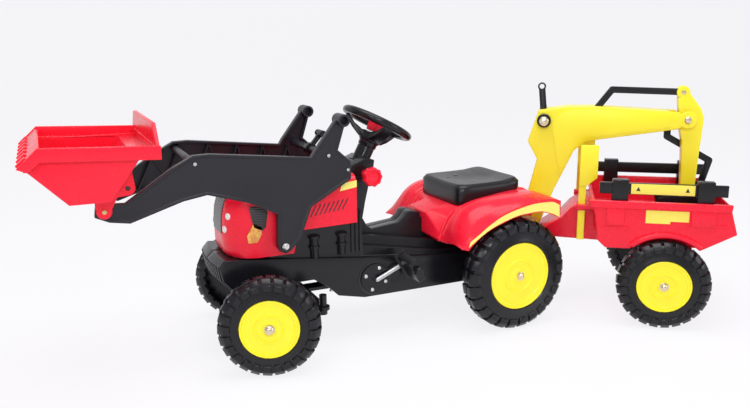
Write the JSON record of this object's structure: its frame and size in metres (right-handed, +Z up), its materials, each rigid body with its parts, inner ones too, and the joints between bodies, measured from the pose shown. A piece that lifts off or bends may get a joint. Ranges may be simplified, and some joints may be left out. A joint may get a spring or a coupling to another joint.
{
  "type": "ride-on pedal tractor",
  "caption": "Child's ride-on pedal tractor with a lifting front loader bucket, steered front wheels and a hitched trailer carrying a lever-worked toy digger",
  "frame": {"origin": "on the floor under the middle of the rear axle", "axes": "+Z up, front of the tractor towards -X, rider's right towards +Y"},
  "size_m": [1.6592, 0.6559, 0.562],
  "materials": {
    "red": "smooth moulded",
    "black": "fine grain moulded",
    "wheel": "blow moulded",
    "yellow": "smooth moulded",
    "steel": "plated"
  },
  "bodies": {
    "tractor": {"chassis_left": "black", "chassis_right": "black", "hood": "red", "dash_panel": "black", "seat_shell": "red", "seat": "black", "front_axle_beam": "black", "crank_covers": "black", "cover_screws": "steel", "axle_bushes": "black", "hitch_bracket": "steel", "hitch_pin": "steel", "drive_chain": "steel", "loader_pivot_bolts": "steel"},
    "rear_wheels": {"rear_axle": "steel", "rear_tyre_left": "wheel", "rear_tyre_right": "wheel", "rear_hub_left": "yellow", "rear_hub_right": "yellow", "rear_nuts": "steel", "rear_sprocket": "steel"},
    "crank_set": {"crank": "steel", "crank_sprocket": "steel"},
    "left_pedal": {"pedal_left": "black"},
    "right_pedal": {"pedal_right": "black"},
    "steering": {"steering_column": "steel", "steering_wheel": "black"},
    "horn": {"horn_button": "red"},
    "knob": {"dash_knob": "red"},
    "left_knuckle": {"knuckle_left": "steel"},
    "right_knuckle": {"knuckle_right": "steel"},
    "track_rod": {"tie_rod": "black"},
    "left_front_wheel": {"front_tyre_left": "wheel", "front_hub_left": "yellow"},
    "right_front_wheel": {"front_tyre_right": "wheel", "front_hub_right": "yellow"},
    "loader": {"loader_arm_left": "black", "loader_arm_right": "black", "loader_cross_bars": "black"},
    "latch": {"loader_latch": "black"},
    "bucket": {"loader_bucket": "red", "bucket_pins": "black"},
    "trailer": {"trailer_tub": "red", "trailer_rails": "black", "rail_brackets": "black", "trailer_axle": "steel", "trailer_nuts": "steel"},
    "left_trailer_wheel": {"trailer_tyre_left": "wheel", "trailer_hub_left": "yellow"},
    "right_trailer_wheel": {"trailer_tyre_right": "wheel", "trailer_hub_right": "yellow"},
    "left_shovel": {"shovel_left": "yellow"},
    "right_shovel": {"shovel_right": "yellow"},
    "boom": {"digger_boom": "yellow", "boom_bolts": "black"},
    "stick": {"digger_stick": "yellow"},
    "dig_bucket": {"digger_bucket": "black"},
    "upper_link": {"stick_link": "black"},
    "lower_link": {"bucket_link": "black"},
    "lever": {"dig_lever": "black"}
  },
  "joints": [
    {"name": "rear_axle_spin", "type": "hinge", "parent": "tractor", "child": "rear_wheels", "pos_m": [0, 0, 0.131], "axis": [0, 1, 0], "continuous": true},
    {"name": "crank_spin", "type": "hinge", "parent": "tractor", "child": "crank_set", "pos_m": [-0.3195, 0, 0.139], "axis": [0, 1, 0], "continuous": true},
    {"name": "left_pedal_spin", "type": "hinge", "parent": "crank_set", "child": "left_pedal", "pos_m": [-0.25098, -0.15, 0.1695], "axis": [0, 1, 0], "continuous": true},
    {"name": "right_pedal_spin", "type": "hinge", "parent": "crank_set", "child": "right_pedal", "pos_m": [-0.38802, 0.15, 0.10849], "axis": [0, 1, 0], "continuous": true},
    {"name": "left_kingpin", "type": "hinge", "parent": "tractor", "child": "left_knuckle", "pos_m": [-0.582, -0.135, 0.105], "axis": [0, 0, 1], "range_deg": [-12, 48]},
    {"name": "right_kingpin", "type": "hinge", "parent": "tractor", "child": "right_knuckle", "pos_m": [-0.582, 0.135, 0.105], "axis": [0, 0, 1], "range_deg": [-12, 48]},
    {"name": "track_rod_pivot", "type": "hinge", "parent": "left_knuckle", "child": "track_rod", "pos_m": [-0.47643, -0.1693, 0.121], "axis": [0, 0, 1], "range_deg": [-48, 12]},
    {"name": "steering_turn", "type": "hinge", "parent": "tractor", "child": "steering", "pos_m": [-0.27, 0, 0.482], "axis": [0.4695, 0, 0.8829], "range_deg": [-20.4, 81.6]},
    {"name": "horn_press", "type": "slide", "parent": "steering", "child": "horn", "axis": [-0.4695, 0, -0.8829], "range_m": [0, 0.0035], "stiffness_N_per_m": 300, "springref_m": -0.001},
    {"name": "knob_turn", "type": "hinge", "parent": "tractor", "child": "knob", "pos_m": [-0.322, -0.07, 0.374], "axis": [0, 1, 0], "range_deg": [-60, 60]},
    {"name": "left_front_spin", "type": "hinge", "parent": "left_knuckle", "child": "left_front_wheel", "pos_m": [-0.582, -0.135, 0.105], "axis": [0.309, 0.9511, 0], "continuous": true},
    {"name": "right_front_spin", "type": "hinge", "parent": "right_knuckle", "child": "right_front_wheel", "pos_m": [-0.582, 0.135, 0.105], "axis": [0.309, 0.9511, 0], "continuous": true},
    {"name": "loader_lift", "type": "hinge", "parent": "tractor", "child": "loader", "pos_m": [-0.538, 0, 0.25], "axis": [0, 1, 0], "range_deg": [-38, 8]},
    {"name": "latch_swing", "type": "hinge", "parent": "loader", "child": "latch", "pos_m": [-0.43685, 0, 0.43478], "axis": [0, 1, 0], "range_deg": [-15, 20]},
    {"name": "bucket_tip", "type": "hinge", "parent": "loader", "child": "bucket", "pos_m": [-0.888, 0, 0.363], "axis": [0, 1, 0], "range_deg": [-40, 10]},
    {"name": "trailer_swing", "type": "hinge", "parent": "tractor", "child": "trailer", "pos_m": [0.1525, 0, 0.173], "axis": [0, 0, 1], "range_deg": [-7, 83]},
    {"name": "left_trailer_spin", "type": "hinge", "parent": "trailer", "child": "left_trailer_wheel", "pos_m": [0.31143, -0.33356, 0.105], "axis": [0.6157, 0.788, 0], "continuous": true},
    {"name": "right_trailer_spin", "type": "hinge", "parent": "trailer", "child": "right_trailer_wheel", "pos_m": [0.5146, -0.07352, 0.105], "axis": [0.6157, 0.788, 0], "continuous": true},
    {"name": "left_shovel_lift", "type": "slide", "parent": "trailer", "child": "left_shovel", "axis": [0, 0, 1], "range_m": [0, 0.12]},
    {"name": "right_shovel_lift", "type": "slide", "parent": "trailer", "child": "right_shovel", "axis": [0, 0, 1], "range_m": [0, 0.12]},
    {"name": "boom_swing", "type": "hinge", "parent": "trailer", "child": "boom", "pos_m": [0.1525, 0, 0.215], "axis": [0, 0, 1], "range_deg": [-8, 8]},
    {"name": "stick_dig", "type": "hinge", "parent": "boom", "child": "stick", "pos_m": [0.45092, -0.23315, 0.4755], "axis": [0.6157, 0.788, 0], "range_deg": [0, 20]},
    {"name": "dig_bucket_curl", "type": "hinge", "parent": "stick", "child": "dig_bucket", "pos_m": [0.46061, -0.24072, 0.258], "axis": [0.6157, 0.788, 0], "range_deg": [0, 17]},
    {"name": "upper_link_pivot", "type": "hinge", "parent": "stick", "child": "upper_link", "pos_m": [0.44131, -0.22564, 0.5405], "axis": [0.6157, 0.788, 0], "range_deg": [-19.5, 0]},
    {"name": "lower_link_pivot", "type": "hinge", "parent": "boom", "child": "lower_link", "pos_m": [0.43352, -0.19418, 0.455], "axis": [0.6157, 0.788, 0], "range_deg": [0, 20]},
    {"name": "dig_lever_pull", "type": "hinge", "parent": "boom", "child": "lever", "pos_m": [0.1856, -0.02586, 0.47], "axis": [0.6157, 0.788, 0], "range_deg": [-19, 0]}
  ],
  "couplings": [
    {"joint": "crank_spin", "follows": "rear_axle_spin", "ratio": 0.66667},
    {"joint": "right_kingpin", "follows": "left_kingpin", "ratio": 1},
    {"joint": "track_rod_pivot", "follows": "left_kingpin", "ratio": -1},
    {"joint": "steering_turn", "follows": "left_kingpin", "ratio": 1.7},
    {"joint": "dig_bucket_curl", "follows": "stick_dig", "ratio": 0.8413},
    {"joint": "lower_link_pivot", "follows": "stick_dig", "ratio": 0.9711},
    {"joint": "upper_link_pivot", "follows": "stick_dig", "ratio": -0.9467},
    {"joint": "dig_lever_pull", "follows": "stick_dig", "ratio": -0.9308}
  ]
}
